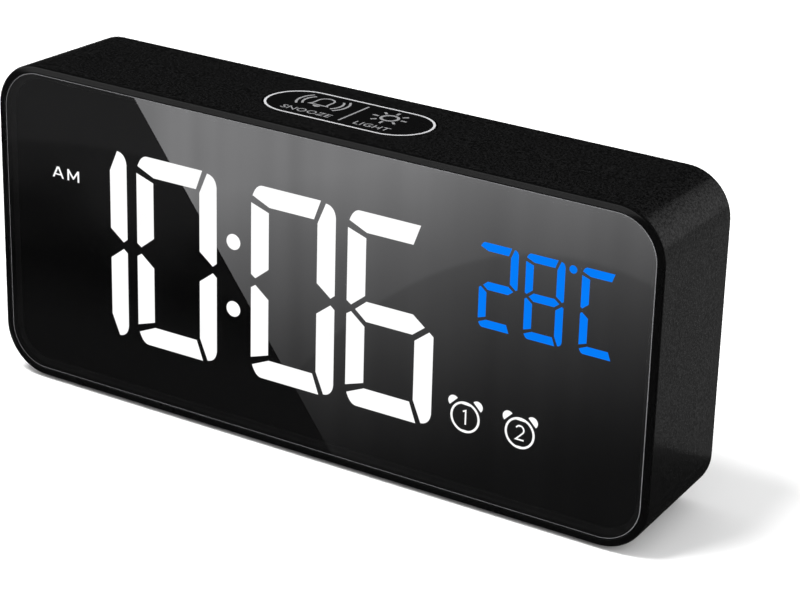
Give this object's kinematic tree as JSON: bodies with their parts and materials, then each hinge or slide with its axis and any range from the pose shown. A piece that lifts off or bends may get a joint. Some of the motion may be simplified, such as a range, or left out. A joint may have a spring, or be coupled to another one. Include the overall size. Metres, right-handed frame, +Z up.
{
  "type": "alarm clock",
  "caption": "Desk alarm clock with a half-mirror front, seven-segment time and temperature display, snooze bar on top and controls and battery bay at the back.",
  "frame": {"origin": "centre of the bounding box's base, on the ground", "axes": "+X to the right as the display is read, +Y to the back, +Z up"},
  "size_m": [0.16, 0.0304, 0.0725],
  "materials": {
    "case_black": "fine matte texture",
    "cover_black": "fine matte texture",
    "button_black": "smooth satin",
    "mirror_lens": "half-mirror coating",
    "mask_black": "printed matte black",
    "white_light": "lit white diffuser",
    "blue_light": "lit blue diffuser",
    "diffuser": "translucent white film",
    "white_plastic": "moulded white",
    "circuit_board": "green solder mask",
    "component_black": "moulded",
    "steel": "zinc plated",
    "nickel": "nickel plated",
    "adhesive": "black foam tape",
    "rubber": "matte",
    "cell_wrap": "printed wrap",
    "red_wire": "insulated wire",
    "black_wire": "insulated wire",
    "sensor_blue": "coated bead"
  },
  "bodies": {
    "clock": {"housing": "case_black", "rear_cover": "cover_black", "battery_tray": "cover_black", "front_lens": "mirror_lens", "display_mask": "mask_black", "hours_tens_segments": "white_light", "hours_units_segments": "white_light", "minutes_tens_segments": "white_light", "minutes_units_segments": "white_light", "colon_segments": "white_light", "meridiem_letters": "white_light", "alarm_sign_1": "white_light", "alarm_sign_2": "white_light", "temperature_segments": "blue_light", "diffuser_film": "diffuser", "display_reflector": "white_plastic", "display_board": "circuit_board", "main_board": "circuit_board", "snooze_board": "circuit_board", "microcontroller": "component_black", "board_header": "component_black", "set_switch": "component_black", "up_switch": "component_black", "down_switch": "component_black", "alarm_switch": "component_black", "mode_switch": "component_black", "snooze_switch": "component_black", "power_inlet_tongue": "component_black", "speaker": "component_black", "cover_screw_1": "steel", "cover_screw_2": "steel", "cover_screw_3": "steel", "cover_screw_4": "steel", "slide_switch_body": "steel", "capacitor": "steel", "power_inlet_shell": "nickel", "battery_contact_positive": "nickel", "battery_contact_negative": "nickel", "battery_link_left": "nickel", "battery_link_right": "nickel", "lens_adhesive": "adhesive", "foot_strip_front": "rubber", "foot_strip_rear": "rubber", "battery_cell_top": "cell_wrap", "battery_cell_middle": "cell_wrap", "battery_cell_bottom": "cell_wrap", "battery_lead_positive": "red_wire", "battery_lead_negative": "black_wire", "speaker_lead": "black_wire", "snooze_lead": "black_wire", "thermistor": "sensor_blue"},
    "snooze_bar": {"snooze_button": "button_black"},
    "battery_door": {"battery_door": "cover_black"},
    "switch_knob": {"slide_switch_knob": "button_black"},
    "set_key": {"set_button": "button_black"},
    "up_key": {"up_button": "button_black"},
    "down_key": {"down_button": "button_black"},
    "alarm_key": {"alarm_button": "button_black"},
    "mode_key": {"mode_button": "button_black"}
  },
  "joints": [
    {"name": "snooze_press", "type": "slide", "parent": "clock", "child": "snooze_bar", "axis": [0, 0, -1], "range_m": [0, 0.0008], "stiffness_N_per_m": 500, "springref_m": -0.0005},
    {"name": "set_press", "type": "slide", "parent": "clock", "child": "set_key", "axis": [0, -1, 0], "range_m": [0, 0.0004], "stiffness_N_per_m": 600, "springref_m": -0.0004},
    {"name": "up_press", "type": "slide", "parent": "clock", "child": "up_key", "axis": [0, -1, 0], "range_m": [0, 0.0004], "stiffness_N_per_m": 600, "springref_m": -0.0004},
    {"name": "down_press", "type": "slide", "parent": "clock", "child": "down_key", "axis": [0, -1, 0], "range_m": [0, 0.0004], "stiffness_N_per_m": 600, "springref_m": -0.0004},
    {"name": "alarm_press", "type": "slide", "parent": "clock", "child": "alarm_key", "axis": [0, -1, 0], "range_m": [0, 0.0004], "stiffness_N_per_m": 600, "springref_m": -0.0004},
    {"name": "mode_press", "type": "slide", "parent": "clock", "child": "mode_key", "axis": [0, -1, 0], "range_m": [0, 0.0004], "stiffness_N_per_m": 600, "springref_m": -0.0004},
    {"name": "dimmer_slide", "type": "slide", "parent": "clock", "child": "switch_knob", "axis": [1, 0, 0], "range_m": [0, 0.003]},
    {"name": "battery_door_tilt", "type": "hinge", "parent": "clock", "child": "battery_door", "pos_m": [0, 0.0128, 0.0068], "axis": [-1, 0, 0], "range_deg": [0, 90]}
  ]
}
